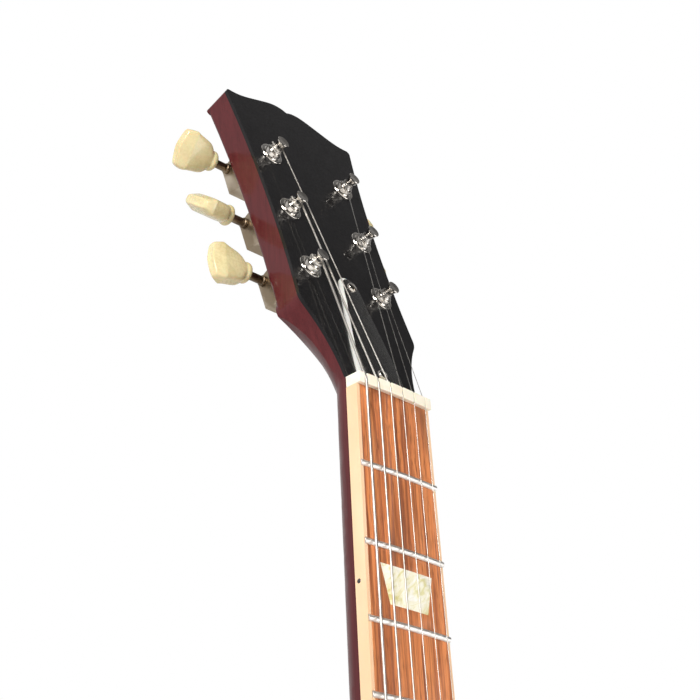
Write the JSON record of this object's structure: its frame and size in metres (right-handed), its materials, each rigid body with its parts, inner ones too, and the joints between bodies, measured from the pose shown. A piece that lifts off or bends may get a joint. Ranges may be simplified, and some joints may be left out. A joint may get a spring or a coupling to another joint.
{
  "type": "electric guitar",
  "caption": "Solid-body electric guitar with a carved single-cutaway body, a bound fretboard and an angled headstock with three worm-geared tuners a side.",
  "frame": {"origin": "on the centreline where a hanger's yoke carries the flare of the headstock, 29 mm above the nut's board edge and 19 mm behind the fretboard's surface", "axes": "+Z along the strings towards the headstock, -Y out of the front, +X to the treble side"},
  "size_m": [0.3326, 0.098, 1.0044],
  "materials": {
    "wine_lacquer": "high gloss",
    "black_lacquer": "high gloss",
    "rosewood": "satin",
    "cream_binding": "gloss",
    "pearloid": "pearly",
    "nickel": "polished",
    "aged_nickel": "aged",
    "steel_string": "wound",
    "button_plastic": "semi gloss",
    "bone": "satin",
    "black_plastic": "gloss",
    "cream_plastic": "gloss",
    "brass": "machined",
    "steel": "machined",
    "amber_knob": "gloss",
    "copper_coil": "wound"
  },
  "bodies": {
    "guitar": {"back_covers": "black_plastic", "body_back": "wine_lacquer", "body_binding": "cream_binding", "body_top": "wine_lacquer", "bridge_base": "nickel", "bridge_posts": "nickel", "bridge_saddles": "brass", "control_pots": "steel", "cover_screws": "nickel", "fretboard": "rosewood", "fretboard_binding": "cream_binding", "frets": "nickel", "headplate": "black_lacquer", "inlays": "pearloid", "jack_plate": "cream_plastic", "neck": "wine_lacquer", "nut": "bone", "output_jack": "nickel", "pickguard": "cream_plastic", "pickup_coils": "copper_coil", "pickup_covers": "nickel", "pickup_rings": "cream_plastic", "plain_strings": "steel_string", "pole_screws": "nickel", "post_bushings": "nickel", "side_dots": "black_plastic", "strap_buttons": "nickel", "switch_body": "steel", "switch_ring": "cream_plastic", "tailpiece": "nickel", "tailpiece_studs": "nickel", "truss_rod": "steel", "truss_rod_cover": "black_plastic", "tuner_housings": "aged_nickel", "tuner_screws": "nickel", "wound_strings": "steel_string"},
    "key_bass_1": {"key_shaft_bass_1": "aged_nickel", "button_bass_1": "button_plastic"},
    "string_post_bass_1": {"post_bass_1": "nickel"},
    "key_bass_2": {"key_shaft_bass_2": "aged_nickel", "button_bass_2": "button_plastic"},
    "string_post_bass_2": {"post_bass_2": "nickel"},
    "key_bass_3": {"key_shaft_bass_3": "aged_nickel", "button_bass_3": "button_plastic"},
    "string_post_bass_3": {"post_bass_3": "nickel"},
    "key_treble_1": {"key_shaft_treble_1": "aged_nickel", "button_treble_1": "button_plastic"},
    "string_post_treble_1": {"post_treble_1": "nickel"},
    "key_treble_2": {"key_shaft_treble_2": "aged_nickel", "button_treble_2": "button_plastic"},
    "string_post_treble_2": {"post_treble_2": "nickel"},
    "key_treble_3": {"key_shaft_treble_3": "aged_nickel", "button_treble_3": "button_plastic"},
    "string_post_treble_3": {"post_treble_3": "nickel"},
    "neck_volume_knob": {"neck_volume_knob": "amber_knob"},
    "bridge_volume_knob": {"bridge_volume_knob": "amber_knob"},
    "neck_tone_knob": {"neck_tone_knob": "amber_knob"},
    "bridge_tone_knob": {"bridge_tone_knob": "amber_knob"},
    "toggle_lever": {"toggle_lever": "cream_plastic"},
    "truss_rod_nut": {"truss_rod_nut": "brass"}
  },
  "joints": [
    {"name": "key_turn_bass_1", "type": "hinge", "parent": "guitar", "child": "key_bass_1", "pos_m": [-0.022, 0.02562, 0.03581], "axis": [-1, 0, 0], "continuous": true},
    {"name": "post_turn_bass_1", "type": "hinge", "parent": "guitar", "child": "string_post_bass_1", "pos_m": [-0.022, 0.00372, 0.03583], "axis": [0, 0.9588, -0.284], "continuous": true},
    {"name": "key_turn_bass_2", "type": "hinge", "parent": "guitar", "child": "key_bass_2", "pos_m": [-0.0225, 0.03584, 0.07033], "axis": [-1, 0, 0], "continuous": true},
    {"name": "post_turn_bass_2", "type": "hinge", "parent": "guitar", "child": "string_post_bass_2", "pos_m": [-0.0225, 0.01395, 0.07035], "axis": [0, 0.9588, -0.284], "continuous": true},
    {"name": "key_turn_bass_3", "type": "hinge", "parent": "guitar", "child": "key_bass_3", "pos_m": [-0.023, 0.04607, 0.10485], "axis": [-1, 0, 0], "continuous": true},
    {"name": "post_turn_bass_3", "type": "hinge", "parent": "guitar", "child": "string_post_bass_3", "pos_m": [-0.023, 0.02417, 0.10487], "axis": [0, 0.9588, -0.284], "continuous": true},
    {"name": "key_turn_treble_1", "type": "hinge", "parent": "guitar", "child": "key_treble_1", "pos_m": [0.022, 0.02562, 0.03581], "axis": [1, 0, 0], "continuous": true},
    {"name": "post_turn_treble_1", "type": "hinge", "parent": "guitar", "child": "string_post_treble_1", "pos_m": [0.022, 0.00372, 0.03583], "axis": [0, 0.9588, -0.284], "continuous": true},
    {"name": "key_turn_treble_2", "type": "hinge", "parent": "guitar", "child": "key_treble_2", "pos_m": [0.0225, 0.03584, 0.07033], "axis": [1, 0, 0], "continuous": true},
    {"name": "post_turn_treble_2", "type": "hinge", "parent": "guitar", "child": "string_post_treble_2", "pos_m": [0.0225, 0.01395, 0.07035], "axis": [0, 0.9588, -0.284], "continuous": true},
    {"name": "key_turn_treble_3", "type": "hinge", "parent": "guitar", "child": "key_treble_3", "pos_m": [0.023, 0.04607, 0.10485], "axis": [1, 0, 0], "continuous": true},
    {"name": "post_turn_treble_3", "type": "hinge", "parent": "guitar", "child": "string_post_treble_3", "pos_m": [0.023, 0.02417, 0.10487], "axis": [0, 0.9588, -0.284], "continuous": true},
    {"name": "neck_volume_knob_turn", "type": "hinge", "parent": "guitar", "child": "neck_volume_knob", "pos_m": [0.088, -0.00324, -0.6845], "axis": [0, -0.9976, -0.0698], "range_deg": [-150, 150]},
    {"name": "bridge_volume_knob_turn", "type": "hinge", "parent": "guitar", "child": "bridge_volume_knob", "pos_m": [0.062, 0.00018, -0.73338], "axis": [0, -0.9976, -0.0698], "range_deg": [-150, 150]},
    {"name": "neck_tone_knob_turn", "type": "hinge", "parent": "guitar", "child": "neck_tone_knob", "pos_m": [0.127, -0.00121, -0.71343], "axis": [0, -0.9976, -0.0698], "range_deg": [-150, 150]},
    {"name": "bridge_tone_knob_turn", "type": "hinge", "parent": "guitar", "child": "bridge_tone_knob", "pos_m": [0.103, 0.00234, -0.7643], "axis": [0, -0.9976, -0.0698], "range_deg": [-150, 150]},
    {"name": "toggle_rock", "type": "hinge", "parent": "guitar", "child": "toggle_lever", "pos_m": [-0.078, -0.00845, -0.46533], "axis": [1, 0, 0], "range_deg": [-14, 14]},
    {"name": "truss_nut_turn", "type": "hinge", "parent": "guitar", "child": "truss_rod_nut", "pos_m": [0, -0.005, -0.0124], "axis": [0, 0, 1], "range_deg": [-180, 180]}
  ],
  "couplings": [
    {"joint": "post_turn_bass_1", "follows": "key_turn_bass_1", "ratio": -0.071429},
    {"joint": "post_turn_bass_2", "follows": "key_turn_bass_2", "ratio": -0.071429},
    {"joint": "post_turn_bass_3", "follows": "key_turn_bass_3", "ratio": -0.071429},
    {"joint": "post_turn_treble_1", "follows": "key_turn_treble_1", "ratio": 0.071429},
    {"joint": "post_turn_treble_2", "follows": "key_turn_treble_2", "ratio": 0.071429},
    {"joint": "post_turn_treble_3", "follows": "key_turn_treble_3", "ratio": 0.071429}
  ]
}
